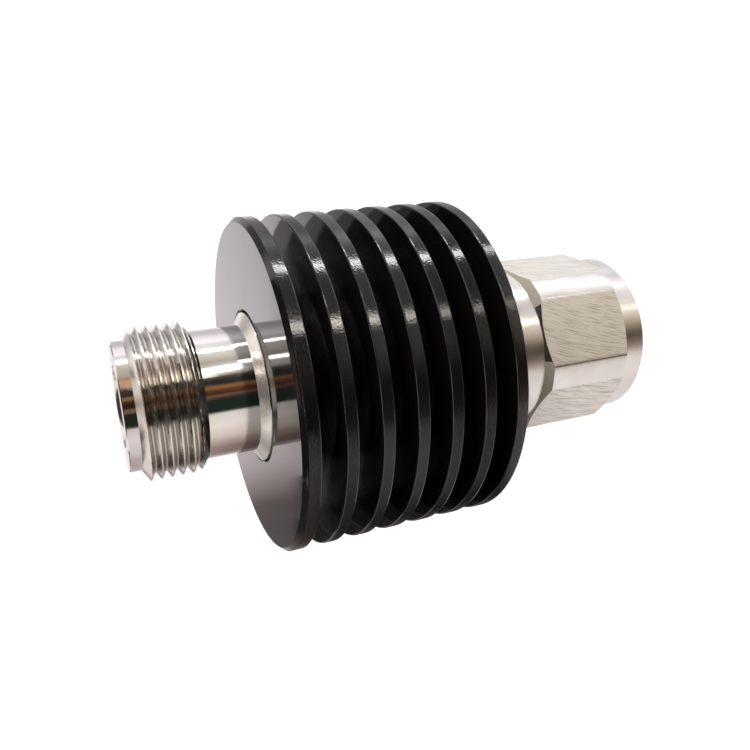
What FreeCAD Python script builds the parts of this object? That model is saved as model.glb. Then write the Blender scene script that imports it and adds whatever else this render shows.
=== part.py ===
import FreeCAD, Part
import os

from FreeCAD import Placement, Rotation, Vector

# Fixed coaxial attenuator with a finned heat sink, a threaded jack and a plug with a coupling nut.
# It stands on the mouth of its coupling nut. The main axis is Z, and Z is 0 in the plane of the mouth.
# Lengths are in millimetres and angles in degrees.

# Heat sink
fin_radius = 18.0
fin_thickness = 1.3
fin_pitch = 3.6
fin_count = 7
end_fin_thickness = 1.8
end_fin_chamfer = 0.5
core_radius = 9.5
sink_bore_radius = 7.0
sink_bore_chamfer = 0.2

# Flange and shank, alike on the jack's body and on the plug's body
flange_radius = 8.05
flange_height = 0.85
flange_rim = 0.12
flange_sunk = 0.8
flange_clearance = 0.15
shank_length = 6.0
shank_fit = 0.02
shank_chamfer = 0.3

# Square-cut seal ring in a groove of the shank, close under the flange
seal_section = 0.66
seal_groove_depth = 0.7
seal_groove_width = 0.9
seal_groove_offset = 0.5

# Jack, measured from the heat sink's face
thread_radius = 7.9375
jack_neck_radius = 6.8
jack_neck_end = 6.0
jack_thread_start = 6.65
jack_thread_end = 11.9
jack_barrel_start = 12.6
jack_barrel_radius = 6.7
jack_length = 13.8
jack_rim_chamfer = 0.1
jack_mouth_radius = 4.05
jack_mouth_depth = 9.1
jack_mouth_chamfer = 0.35

# Coaxial line, alike in the jack and in the plug
line_radius = 3.5
socket_radius = 1.52
bead_radius = 4.6
bead_length = 3.0
bead_bore_radius = 1.1
bead_groove_radius = 2.6
bead_groove_depth = 0.6
ring_length = 2.5
press_fit = 0.01
tail_radius = 1.0
tail_clearance = 0.05
tail_slot_width = 1.06
tail_slot_extra = 0.3

# Socket contact of the jack
socket_reach = 5.0
socket_bore_radius = 0.85
socket_bore_depth = 5.0
socket_drill_point = 0.45
socket_slot_width = 0.35
socket_slot_depth = 4.2
socket_slot_count = 4
socket_tip_chamfer = 0.15

# Attenuator chip, its carrier and its two clips
chip_width = 6.0
chip_thickness = 0.8
chip_margin = 0.9
chip_clearance = 0.02
chip_grip = 1.5
cavity_width = 4.4
cavity_height = 4.2
clip_thickness = 0.1
clip_width = 1.4

# Plug, measured from the plane of the nut's mouth
sleeve_recess = 1.6
sleeve_radius = 4.0
sleeve_tip_chamfer = 0.15
sleeve_bore_chamfer = 0.1
sleeve_slot_width = 0.4
sleeve_slot_depth = 7.0
sleeve_slot_count = 6
sleeve_root_radius = 4.8
sleeve_root_length = 4.0
gasket_seat_depth = 10.4
gasket_thickness = 1.5
gasket_inner_radius = 4.3
gasket_outer_radius = 6.3
gasket_chamfer = 0.2
pin_radius = 0.82
pin_recess = 0.9
pin_tip_radius = 0.35
pin_tip_chamfer = 0.12
pin_taper_length = 0.8
pin_shoulder_recess = 5.5
plug_body_radius = 6.6
plug_body_chamfer = 0.2
nut_to_flange = 3.55

# Split ring that holds the nut on the plug's body
snap_ring_setback = 2.65
snap_ring_thickness = 1.0
snap_ring_width = 1.25
snap_ring_outer_radius = 7.2
snap_ring_opening = 40.0
body_groove_side_gap = 0.05
body_groove_floor_gap = 0.1
nut_groove_side_gap = 0.3
nut_groove_floor_gap = 0.3

# Coupling nut
nut_length = 17.6
nut_land_radius = 10.4
nut_across_flats = 19.3
nut_flat_count = 6
nut_rest_turn = 3.4
nut_collar_radius = 9.43
nut_collar_length = 2.8
nut_boss_length = 3.45
nut_shoulder_height = 0.65
nut_edge_chamfer = 0.35
nut_thread_bore_radius = 7.35
nut_lead_in = 0.75
nut_thread_end = 9.0
nut_undercut_width = 1.4
nut_undercut_radius = 8.1
nut_throat_radius = 7.2
nut_throat_length = 2.2
nut_throat_cone = 0.5
nut_running_clearance = 0.1

# How far a cutting shape runs past what it cuts
cut_overrun = 1.0

# Heights that follow from the values above
gasket_seat = sleeve_recess + gasket_seat_depth
snap_ring_height = nut_length - snap_ring_setback
snap_ring_inner_radius = snap_ring_outer_radius - snap_ring_width
plug_flange_face = nut_length + nut_to_flange
sink_bottom = plug_flange_face + flange_height
sink_top = sink_bottom + (fin_count - 1) * fin_pitch + end_fin_thickness
jack_front = sink_top + jack_length
jack_shank_end = sink_top - shank_length
plug_shank_end = sink_bottom + shank_length
jack_bead_seat = jack_shank_end + ring_length + bead_length
plug_bead_seat = plug_shank_end - ring_length - bead_length
jack_reference = jack_front - jack_mouth_depth
chip_low = plug_shank_end + chip_margin
chip_high = jack_shank_end - chip_margin
shank_radius = sink_bore_radius - shank_fit
counterbore_radius = flange_radius + flange_clearance

AXIS = Vector(0, 0, 1)
ORIGIN = Vector(0, 0, 0)


def corner_path(places, chamfers):
    """Closed wire through the places, cut straight across at each corner that has a chamfer."""
    points = []
    for index, here in enumerate(places):
        before = (places[index - 1] - here).normalize()
        after = (places[(index + 1) % len(places)] - here).normalize()
        chamfer = chamfers[index]
        if chamfer == 0:
            points.append(here)
        else:
            points.append(here + before * chamfer)
            points.append(here + after * chamfer)
    return Part.makePolygon(points + points[:1])


def turned(corners, angle=360):
    """Solid turned about the main axis. A corner is radius, height and, where it has one, its chamfer."""
    places = [Vector(corner[0], 0, corner[1]) for corner in corners]
    chamfers = [corner[2] if len(corner) > 2 else 0 for corner in corners]
    return Part.Face(corner_path(places, chamfers)).revolve(ORIGIN, AXIS, angle)


def block(width, depth, low, high):
    """Upright box centred on the main axis."""
    return Part.makeBox(width, depth, high - low, Vector(-width / 2, -depth / 2, low))


def slots(count, width, reach, low, high):
    """Radial saw cuts that run out from the axis, spread evenly round it."""
    cuts = []
    for index in range(count):
        cut = Part.makeBox(reach, width, high - low, Vector(0, -width / 2, low))
        cut.rotate(ORIGIN, AXIS, 360 * index / count)
        cuts.append(cut)
    return Part.makeCompound(cuts)


def heat_sink():
    """Seven round fins on a core, bored through, with a counterbore for each flange."""
    corners = [
        (sink_bore_radius, sink_bottom + flange_sunk),
        (counterbore_radius, sink_bottom + flange_sunk),
        (counterbore_radius, sink_bottom, sink_bore_chamfer),
    ]
    for index in range(fin_count):
        low = sink_bottom + index * fin_pitch
        last = index == fin_count - 1
        if index > 0:
            corners.append((core_radius, low))
        corners.append((fin_radius, low))
        if last:
            corners.append((fin_radius, sink_top, end_fin_chamfer))
        else:
            corners.append((fin_radius, low + fin_thickness))
            corners.append((core_radius, low + fin_thickness))
    corners.append((counterbore_radius, sink_top, sink_bore_chamfer))
    corners.append((counterbore_radius, sink_top - flange_sunk))
    corners.append((sink_bore_radius, sink_top - flange_sunk))
    return turned(corners)


def flange_and_shank(face, outward, neck_radius):
    """Outer corners from the neck over the flange and down the shank, for a body seated on a face.

    The shank's seal groove lies close under the flange. Outward is 1 for the jack and -1 for the plug."""
    seat = face - outward * flange_sunk
    groove_near = seat - outward * seal_groove_offset
    groove_far = groove_near - outward * seal_groove_width
    end = face - outward * shank_length
    return [
        (neck_radius, face + outward * flange_height),
        (flange_radius, face + outward * flange_rim),
        (flange_radius, seat),
        (shank_radius, seat),
        (shank_radius, groove_near),
        (shank_radius - seal_groove_depth, groove_near),
        (shank_radius - seal_groove_depth, groove_far),
        (shank_radius, groove_far),
        (shank_radius, end, shank_chamfer),
    ]


def jack_body():
    """Female connector body: barrel, lead-in cone, thread at its full diameter, neck, flange and shank."""
    thread_low = sink_top + jack_thread_start
    thread_high = sink_top + jack_thread_end
    corners = [
        (jack_mouth_radius, jack_front, jack_mouth_chamfer),
        (jack_barrel_radius, jack_front, jack_rim_chamfer),
        (jack_barrel_radius, sink_top + jack_barrel_start),
        (thread_radius, thread_high),
        (thread_radius, thread_low),
        (jack_neck_radius, sink_top + jack_neck_end),
    ]
    corners += flange_and_shank(sink_top, 1, jack_neck_radius)
    corners += [
        (bead_radius, jack_shank_end),
        (bead_radius, jack_bead_seat),
        (line_radius, jack_bead_seat),
        (line_radius, jack_reference),
        (jack_mouth_radius, jack_reference),
    ]
    return turned(corners)


def insulator(seat, outward):
    """Bead with a ring groove in each end face, seated on the step of the body's bore."""
    near = seat
    far = seat - outward * bead_length
    groove_outer = bead_groove_radius + bead_groove_depth
    outer = bead_radius - press_fit
    bore = bead_bore_radius + press_fit
    return turned([
        (bore, near),
        (bead_groove_radius, near),
        (bead_groove_radius, near - outward * bead_groove_depth),
        (groove_outer, near - outward * bead_groove_depth),
        (groove_outer, near),
        (outer, near),
        (outer, far),
        (groove_outer, far),
        (groove_outer, far + outward * bead_groove_depth),
        (bead_groove_radius, far + outward * bead_groove_depth),
        (bead_groove_radius, far),
        (bore, far),
    ])


def insulator_ring(seat, outward):
    """Ring pressed into the shank's bore behind the bead, flush with the shank's end."""
    near = seat - outward * bead_length
    far = near - outward * ring_length
    outer = bead_radius - press_fit
    return turned([(line_radius, near), (outer, near), (outer, far), (line_radius, far)])


def seal_ring(face, outward):
    """Square-cut rubber ring in the middle of the shank's groove."""
    middle = face - outward * (flange_sunk + seal_groove_offset + seal_groove_width / 2)
    ring_radius = shank_radius - seal_groove_depth / 2
    inner = ring_radius - seal_section / 2
    outer = ring_radius + seal_section / 2
    low = middle - seal_section / 2
    high = middle + seal_section / 2
    return turned([(inner, low), (outer, low), (outer, high), (inner, high)])


def tail_slot(chip_end, outward):
    """Cut across a contact's tail for the chip and its clip."""
    tip = chip_end - outward * chip_grip
    floor = chip_end + outward * tail_slot_extra
    low, high = sorted((tip, floor))
    return block(2 * tail_radius + 2 * tail_clearance, tail_slot_width, low, high)


def jack_center_contact():
    """Slotted socket on a neck held by the bead, with a slotted tail that takes the chip's end."""
    tip = jack_reference + socket_reach
    corners = [
        (0, chip_high - chip_grip),
        (tail_radius, chip_high - chip_grip),
        (tail_radius, jack_bead_seat - bead_length),
        (bead_bore_radius, jack_bead_seat - bead_length),
        (bead_bore_radius, jack_bead_seat),
        (socket_radius, jack_bead_seat),
        (socket_radius, tip, socket_tip_chamfer),
        (socket_bore_radius, tip),
        (socket_bore_radius, tip - socket_bore_depth),
        (0, tip - socket_bore_depth - socket_drill_point),
    ]
    cuts = slots(socket_slot_count, socket_slot_width, socket_radius + cut_overrun,
                 tip - socket_slot_depth, tip + cut_overrun)
    return turned(corners).cut(cuts).cut(tail_slot(chip_high, 1))


def plug_center_contact():
    """Pointed pin on a thicker rod held by the bead, with a slotted tail that takes the chip's end."""
    tip = sleeve_recess + pin_recess
    shoulder = sleeve_recess + pin_shoulder_recess
    corners = [
        (0, tip),
        (pin_tip_radius, tip, pin_tip_chamfer),
        (pin_radius, tip + pin_taper_length),
        (pin_radius, shoulder),
        (socket_radius, shoulder),
        (socket_radius, plug_bead_seat),
        (bead_bore_radius, plug_bead_seat),
        (bead_bore_radius, plug_bead_seat + bead_length),
        (tail_radius, plug_bead_seat + bead_length),
        (tail_radius, chip_low + chip_grip),
        (0, chip_low + chip_grip),
    ]
    return turned(corners).cut(tail_slot(chip_low, -1))


def attenuator_chip():
    """Ceramic plate in the plane through the axis, between the two tails."""
    return block(chip_width, chip_thickness, chip_low, chip_high)


def chip_clip(chip_end, outward):
    """Spring leaf folded over the chip's end inside the tail's slot."""
    inner = chip_thickness + 2 * chip_clearance
    outer = inner + 2 * clip_thickness
    bend = chip_end + outward * chip_clearance
    back = bend + outward * clip_thickness
    tip = chip_end - outward * chip_grip
    low, high = sorted((tip, back))
    leaf = block(clip_width, outer, low, high)
    low, high = sorted((tip - outward * cut_overrun, bend))
    return leaf.cut(block(clip_width + cut_overrun, inner, low, high))


def carrier_half(side):
    """Half cylinder between the two shanks, with half the cavity and half the seat of the chip's edges."""
    radius = sink_bore_radius - shank_fit
    length = jack_shank_end - plug_shank_end
    whole = Part.makeCylinder(radius, length, Vector(0, 0, plug_shank_end), AXIS)
    half = Part.makeBox(2 * radius, radius, length, Vector(-radius, min(0, side) * radius, plug_shank_end))
    seat = block(chip_width + 2 * chip_clearance, chip_thickness + 2 * chip_clearance,
                 chip_low - chip_clearance, chip_high + chip_clearance)
    cavity = block(cavity_width, cavity_height,
                   plug_shank_end - cut_overrun, jack_shank_end + cut_overrun)
    return whole.common(half).cut(cavity).cut(seat)


def plug_outer_contact():
    """Sleeve with sprung fingers and a thicker root that is pressed into the plug's body."""
    root_end = gasket_seat + sleeve_root_length
    corners = [
        (line_radius, sleeve_recess, sleeve_bore_chamfer),
        (sleeve_radius, sleeve_recess, sleeve_tip_chamfer),
        (sleeve_radius, gasket_seat),
        (sleeve_root_radius - press_fit, gasket_seat),
        (sleeve_root_radius - press_fit, root_end),
        (line_radius, root_end),
    ]
    cuts = slots(sleeve_slot_count, sleeve_slot_width, sleeve_radius + cut_overrun,
                 sleeve_recess - cut_overrun, sleeve_recess + sleeve_slot_depth)
    return turned(corners).cut(cuts)


def plug_body():
    """Male connector body: gasket seat, bearing for the nut with its ring groove, flange and shank."""
    groove_half = snap_ring_thickness / 2 + body_groove_side_gap
    groove_radius = snap_ring_inner_radius - body_groove_floor_gap
    corners = [
        (sleeve_root_radius, gasket_seat),
        (plug_body_radius, gasket_seat, plug_body_chamfer),
        (plug_body_radius, snap_ring_height - groove_half),
        (groove_radius, snap_ring_height - groove_half),
        (groove_radius, snap_ring_height + groove_half),
        (plug_body_radius, snap_ring_height + groove_half),
    ]
    corners += flange_and_shank(sink_bottom, -1, plug_body_radius)
    corners += [
        (bead_radius, plug_shank_end),
        (bead_radius, plug_bead_seat),
        (line_radius, plug_bead_seat),
        (line_radius, gasket_seat + sleeve_root_length),
        (sleeve_root_radius, gasket_seat + sleeve_root_length),
    ]
    return turned(corners)


def plug_gasket():
    """Flat rubber ring on the plug body's front face, round the sleeve."""
    front = gasket_seat - gasket_thickness
    return turned([
        (gasket_inner_radius, front, gasket_chamfer),
        (gasket_outer_radius, front, gasket_chamfer),
        (gasket_outer_radius, gasket_seat),
        (gasket_inner_radius, gasket_seat),
    ])


def nut_snap_ring():
    """Split ring of square wire, open over a short arc."""
    low = snap_ring_height - snap_ring_thickness / 2
    high = snap_ring_height + snap_ring_thickness / 2
    ring = turned([
        (snap_ring_inner_radius, low),
        (snap_ring_outer_radius, low),
        (snap_ring_outer_radius, high),
        (snap_ring_inner_radius, high),
    ], 360 - snap_ring_opening)
    ring.rotate(ORIGIN, AXIS, snap_ring_opening / 2)
    return ring


def coupling_nut():
    """Nut turned from hexagon bar: collar, six flats with round lands between, boss and stepped bore."""
    bearing_radius = plug_body_radius + nut_running_clearance
    groove_half = snap_ring_thickness / 2 + nut_groove_side_gap
    groove_radius = snap_ring_outer_radius + nut_groove_floor_gap
    undercut_end = nut_thread_end + nut_undercut_width
    throat_end = undercut_end + nut_throat_length
    boss_start = nut_length - nut_boss_length
    outside = [
        (nut_collar_radius, 0, nut_edge_chamfer),
        (nut_collar_radius, nut_collar_length),
        (nut_land_radius, nut_collar_length + nut_shoulder_height),
        (nut_land_radius, boss_start - nut_shoulder_height),
        (nut_collar_radius, boss_start),
        (nut_collar_radius, nut_length, nut_edge_chamfer),
    ]
    inside = [
        (bearing_radius, nut_length, nut_edge_chamfer),
        (bearing_radius, snap_ring_height + groove_half),
        (groove_radius, snap_ring_height + groove_half),
        (groove_radius, snap_ring_height - groove_half),
        (bearing_radius, snap_ring_height - groove_half),
        (bearing_radius, throat_end + nut_throat_cone),
        (nut_throat_radius, throat_end),
        (nut_throat_radius, undercut_end),
        (nut_undercut_radius, undercut_end),
        (nut_undercut_radius, nut_thread_end),
        (nut_thread_bore_radius, nut_thread_end),
        (nut_thread_bore_radius, nut_lead_in),
        (nut_thread_bore_radius + nut_lead_in, 0),
    ]
    blank = turned(outside + inside)
    half_flats = nut_across_flats / 2
    trimming = nut_land_radius
    for index in range(nut_flat_count):
        waste = Part.makeBox(trimming, 2 * trimming, nut_length, Vector(half_flats, -trimming, 0))
        waste.rotate(ORIGIN, AXIS, nut_rest_turn - 90 + 360 * index / nut_flat_count)
        blank = blank.cut(waste)
    return blank


pieces = {
    "heat_sink": heat_sink(),
    "jack_body": jack_body(),
    "jack_center_contact": jack_center_contact(),
    "jack_insulator": insulator(jack_bead_seat, 1),
    "jack_insulator_ring": insulator_ring(jack_bead_seat, 1),
    "jack_seal_ring": seal_ring(sink_top, 1),
    "carrier_half_front": carrier_half(-1),
    "carrier_half_rear": carrier_half(1),
    "attenuator_chip": attenuator_chip(),
    "jack_chip_clip": chip_clip(chip_high, 1),
    "plug_chip_clip": chip_clip(chip_low, -1),
    "plug_body": plug_body(),
    "plug_outer_contact": plug_outer_contact(),
    "plug_center_contact": plug_center_contact(),
    "plug_insulator": insulator(plug_bead_seat, -1),
    "plug_insulator_ring": insulator_ring(plug_bead_seat, -1),
    "plug_seal_ring": seal_ring(sink_bottom, -1),
    "plug_gasket": plug_gasket(),
    "nut_snap_ring": nut_snap_ring(),
    "coupling_nut": coupling_nut(),
}

os.makedirs("parts", exist_ok=True)
for name, shape in pieces.items():
    shape.exportStep("parts/" + name + ".step")
    box = shape.BoundBox
    print(f"{name:22s} {len(shape.Solids)} solid  {shape.Volume:9.2f} mm3  valid {shape.isValid()}"
          f"  z {box.ZMin:6.2f} to {box.ZMax:6.2f}")
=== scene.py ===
# %% [markdown]
# A coaxial attenuator, dressed and lit
#
# The real part is turned metal from end to end: a black anodised heat sink with seven round fins, a bright
# nickel-plated jack with an outside thread, and a plug whose hexagon coupling nut turns freely. It stands on
# the mouth of that nut, and its main axis is Z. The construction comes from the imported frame. This file makes
# the surfaces that a camera sees: threads, broken edges, cutter marks, plating and the studio they mirror.

from math import cos, pi, radians, sin, tan

import bmesh
import bpy
from mathutils import Matrix, Vector


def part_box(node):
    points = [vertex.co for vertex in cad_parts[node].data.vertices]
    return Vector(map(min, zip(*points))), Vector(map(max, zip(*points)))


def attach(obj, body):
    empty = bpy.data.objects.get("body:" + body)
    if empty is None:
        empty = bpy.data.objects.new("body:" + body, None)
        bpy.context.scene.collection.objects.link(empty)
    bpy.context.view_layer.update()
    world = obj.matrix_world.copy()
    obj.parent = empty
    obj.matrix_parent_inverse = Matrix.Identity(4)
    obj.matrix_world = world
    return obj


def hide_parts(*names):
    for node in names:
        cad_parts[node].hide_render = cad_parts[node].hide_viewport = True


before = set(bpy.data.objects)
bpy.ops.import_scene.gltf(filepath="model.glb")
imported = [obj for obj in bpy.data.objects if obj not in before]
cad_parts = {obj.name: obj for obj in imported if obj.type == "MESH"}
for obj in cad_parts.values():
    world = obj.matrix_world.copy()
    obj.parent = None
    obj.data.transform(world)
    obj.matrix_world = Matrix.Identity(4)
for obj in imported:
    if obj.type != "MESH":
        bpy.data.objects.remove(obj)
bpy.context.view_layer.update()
scene = bpy.context.scene
MM = 0.001

# %% [markdown]
# The sizes that repeat the frame's
#
# A surface that stands for a CAD solid has to lie where the solid lies. Heights and outer radii are read from
# the boxes of the frame's nodes, and the details inside those boxes are given here once, in millimetres.

# %% Sizes read from the frame
def reach(node):
    """Outer radius, lowest and highest height of a node, in millimetres."""
    low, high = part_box(node)
    return high.x / MM, low.z / MM, high.z / MM


FIN_RADIUS, SINK_LOW, SINK_HIGH = reach("heat_sink")
THREAD_RADIUS = 7.9375
JACK_FRONT = reach("jack_body")[2]
NUT_LENGTH = reach("coupling_nut")[2]
print("fins", FIN_RADIUS, "sink", SINK_LOW, SINK_HIGH, "jack front", JACK_FRONT, "nut", NUT_LENGTH)

# %% [markdown]
# Writing node trees as sums
#
# A node tree is easier to read as a formula than as a list of links. The class below holds one output socket.
# Adding or multiplying two of them places the Math node and its links. Every other kind of node comes from its
# one method, which sets the node's own settings first and then the values or links of its sockets.

# %% A socket that can be written into a formula
def to_rgba(colour):
    return (*colour, 1.0)


def grey(value):
    return (value, value, value, 1.0)


class Term:
    """An output socket of a node tree. With no socket it stands for the tree alone."""

    def __init__(self, tree, socket=None):
        self.tree = tree
        self.socket = socket

    def node(self, kind, settings=None, sockets=None, output=0):
        """Adds a node and returns one of its outputs."""
        made = self.tree.nodes.new(kind)
        for name, value in (settings or {}).items():
            if name == "stops":
                self.set_stops(made.color_ramp, value)
            else:
                setattr(made, name, value)
        for key, value in (sockets or {}).items():
            self.feed(made.inputs[key], value)
        return Term(self.tree, made.outputs[output] if made.outputs else None)

    def feed(self, socket, value):
        """Links a term to an input socket, or sets the socket's own value."""
        if isinstance(value, Term):
            self.tree.links.new(value.socket, socket)
        else:
            socket.default_value = value

    @staticmethod
    def set_stops(ramp, stops):
        """Places and colours the stops of a colour ramp."""
        while len(ramp.elements) < len(stops):
            ramp.elements.new(1.0)
        for element, (place, colour) in zip(ramp.elements, stops):
            element.position = place
            element.color = to_rgba(colour)

    def sibling(self, output):
        """Another output of the same node."""
        return Term(self.tree, self.socket.node.outputs[output])

    def math(self, operation, *others):
        """A Math node on this term and up to two more."""
        sockets = {index: value for index, value in enumerate((self, *others))}
        return self.node("ShaderNodeMath", {"operation": operation}, sockets)

    def __add__(self, other):
        return self.math("ADD", other)

    __radd__ = __add__

    def __mul__(self, other):
        return self.math("MULTIPLY", other)

    __rmul__ = __mul__

    def __sub__(self, other):
        return self.math("SUBTRACT", other)

    def __rsub__(self, other):
        return self.node("ShaderNodeMath", {"operation": "SUBTRACT"}, {0: other, 1: self})

    def __truediv__(self, other):
        return self.math("DIVIDE", other)

    def lowest(self, other):
        return self.math("MINIMUM", other)

    def highest(self, other):
        return self.math("MAXIMUM", other)

    def between(self, first, last, low=0.0, high=1.0):
        """Stretches the range from first to last over low to high, and holds the ends."""
        return self.node("ShaderNodeMapRange", {"clamp": True}, {
            "Value": self, "From Min": first, "From Max": last, "To Min": low, "To Max": high})

    def blend(self, first, second):
        """Colour between two others, by this term."""
        ends = [end if isinstance(end, Term) else to_rgba(end) for end in (first, second)]
        return self.node("ShaderNodeMix", {"data_type": "RGBA"}, {0: self, 6: ends[0], 7: ends[1]}, 2)

    def near(self, value, margin):
        """1 where this term lies within a margin of the value, and 0 elsewhere."""
        return self.math("COMPARE", value, margin)


# %% [markdown]
# The camera
#
# The photograph looks at the part from a little over 20 degrees above the fins' plane and turns the main axis
# across the picture, with the jack at the left. Here the part stands upright, so the camera is rolled instead
# by nearly a right angle. The lens follows from the focal length that was fitted to the circles in the picture.

# %% Camera
CAMERA_PLACE = Vector((-0.95, -81.32, 62.68)) * MM
CAMERA_DROP = radians(21.253)
CAMERA_ROLL = radians(99.32)
PICTURE_SIDE = 750
FOCAL_LENGTH_IN_PIXELS = 758.05
SENSOR_SIDE = 36.0

forward = Vector((0, cos(CAMERA_DROP), -sin(CAMERA_DROP)))
level_right = Vector((1, 0, 0))
level_up = level_right.cross(forward)
camera_right = level_right * cos(CAMERA_ROLL) - level_up * sin(CAMERA_ROLL)
camera_up = level_right * sin(CAMERA_ROLL) + level_up * cos(CAMERA_ROLL)

lens = bpy.data.cameras.new("portrait")
lens.sensor_width = SENSOR_SIDE
lens.lens = FOCAL_LENGTH_IN_PIXELS / PICTURE_SIDE * SENSOR_SIDE
lens.clip_start = 1 * MM
lens.clip_end = 20.0
camera = bpy.data.objects.new("portrait", lens)
turn = Matrix((camera_right, camera_up, -forward)).transposed()
camera.matrix_world = Matrix.Translation(CAMERA_PLACE) @ turn.to_4x4()
scene.collection.objects.link(camera)
scene.camera = camera
print("lens", round(lens.lens, 2), "mm, camera at", [round(v / MM, 1) for v in CAMERA_PLACE])

# %% [markdown]
# The floor, the world and the lamp
#
# The background is pure white. More light would burn the part out, so the floor and the world are white only
# for the camera and for mirror rays, and the floor keeps a soft shadow. One wide lamp from the +X side, which
# is the top of the picture, and the pale world light the matt surfaces at a plain level.

# %% Floor
FLOOR_SIDE = 6.0
FLOOR_GLOW = 0.9
FLOOR_SHADE = 0.25
FLOOR_BOUNCE = 0.75
WHITE = grey(1.0)


def seen_by_camera(start):
    """1 for rays from the camera, and for mirrored and refracted rays."""
    paths = start.node("ShaderNodeLightPath", output="Is Camera Ray")
    return paths.highest(paths.sibling("Is Glossy Ray")).highest(paths.sibling("Is Transmission Ray"))


def blank_material(name):
    """Material with an empty tree, and the term that adds nodes to it."""
    made = bpy.data.materials.new(name)
    made.use_nodes = True
    made.node_tree.nodes.clear()
    return made, Term(made.node_tree)


def floor_material():
    """White with a soft shadow where it is seen, and a plain pale surface where it only reflects light."""
    made, start = blank_material("pale_floor")
    glow = start.node("ShaderNodeEmission", sockets={"Color": WHITE, "Strength": FLOOR_GLOW})
    shade = start.node("ShaderNodeBsdfDiffuse", sockets={"Color": grey(FLOOR_SHADE)})
    shown = start.node("ShaderNodeAddShader", sockets={0: glow, 1: shade})
    bounce = start.node("ShaderNodeBsdfDiffuse", sockets={"Color": grey(FLOOR_BOUNCE)})
    mixed = start.node("ShaderNodeMixShader", sockets={0: seen_by_camera(start), 1: bounce, 2: shown})
    start.node("ShaderNodeOutputMaterial", sockets={"Surface": mixed})
    return made


def surface(name, corners, faces, material):
    """Object in the scene from corners and faces."""
    mesh = bpy.data.meshes.new(name)
    mesh.from_pydata(corners, [], faces)
    mesh.materials.append(material)
    made = bpy.data.objects.new(name, mesh)
    scene.collection.objects.link(made)
    return made


def level_square(name, side, height, material):
    half = side / 2
    corners = [(-half, -half, height), (half, -half, height), (half, half, height), (-half, half, height)]
    return surface(name, corners, [(0, 1, 2, 3)], material)


floor = level_square("floor", FLOOR_SIDE, 0.0, floor_material())
floor.visible_glossy = False
print("floor", FLOOR_SIDE, "m wide")

# %% World and lamp
WORLD_FILL = 0.55
LAMP_PLACE = Vector((0.45, -0.25, 0.35))
LAMP_SIDE = 0.5
LAMP_POWER = 6.0

world = bpy.data.worlds.new("studio")
world.use_nodes = True
scene.world = world
sky = Term(world.node_tree)
backdrop = world.node_tree.nodes["Background"]
sky.feed(backdrop.inputs["Strength"], seen_by_camera(sky) * (1.0 - WORLD_FILL) + WORLD_FILL)
backdrop.inputs["Color"].default_value = WHITE

softbox = bpy.data.lights.new("softbox", "AREA")
softbox.shape = "SQUARE"
softbox.size = LAMP_SIDE
softbox.energy = LAMP_POWER
lamp = bpy.data.objects.new("softbox", softbox)
lamp_turn = (-LAMP_PLACE).to_track_quat("-Z", "Y").to_matrix().to_4x4()
lamp.matrix_world = Matrix.Translation(LAMP_PLACE) @ lamp_turn
lamp.visible_glossy = False
scene.collection.objects.link(lamp)

scene.view_settings.view_transform = "Standard"
print("world at", WORLD_FILL, "for matt surfaces, lamp", LAMP_POWER, "W")

# %% [markdown]
# What the metal mirrors
#
# Polished nickel and gloss black have next to no colour of their own: they show the room. A painted
# reflection would slide over the metal as the view turns, so the room is built from cards, as in a studio. A
# round tent stands about the part. Only mirror rays meet it, so it neither lights the floor nor casts a
# shadow. It is coloured in belts, because each piece of the part looks at a height of its own: barrel, neck,
# fins, boss and collar. A belt is a list of stops, each an angle and a colour. Angles are measured about the
# main axis, from the camera's side (0) by way of +X (90) to the far side (180).
#
# How does one find such a room? A band of the metal in the photograph has a colour, and the place and slope
# of the metal say from where that light came. Readings of the bands gave the first stops, and comparing
# render and photograph gave their changes.

# %% Belts that the jack mirrors
BARREL_BELT = [
    (-180, 0.718, 0.701, 0.759), (-147, 0.534, 0.492, 0.516), (-135, 0.54, 0.453, 0.451),
    (-108, 0.58, 0.484, 0.473), (-92, 0.74, 0.67, 0.649), (-60, 0.85, 0.77, 0.73), (-42, 0.72, 0.66, 0.61),
    (-38, 0.016, 0.02, 0.017), (-15, 0.018, 0.022, 0.018), (-12, 0.22, 0.13, 0.08), (-8, 0.2, 0.11, 0.07),
    (-4, 0.015, 0.01, 0.007), (3, 0.015, 0.01, 0.007), (7, 0.05, 0.03, 0.02), (9, 0.26, 0.15, 0.08),
    (13, 0.24, 0.15, 0.08), (15.5, 0.04, 0.03, 0.025), (28, 0.08, 0.04, 0.015), (32, 0.5, 0.26, 0.14),
    (41, 0.66, 0.34, 0.17), (46, 0.36, 0.19, 0.11), (52, 0.56, 0.45, 0.37), (68, 0.62, 0.56, 0.5),
    (73, 0.75, 0.69, 0.63), (77, 1.15, 1.08, 1.04), (84, 1.2, 1.14, 1.14), (92, 0.84, 0.836, 0.848),
    (100, 1.2, 1.14, 1.19), (116, 1.1, 1.07, 1.11), (128, 0.736, 0.713, 0.731), (145, 0.607, 0.57, 0.58),
    (175, 0.718, 0.681, 0.69),
]
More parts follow.
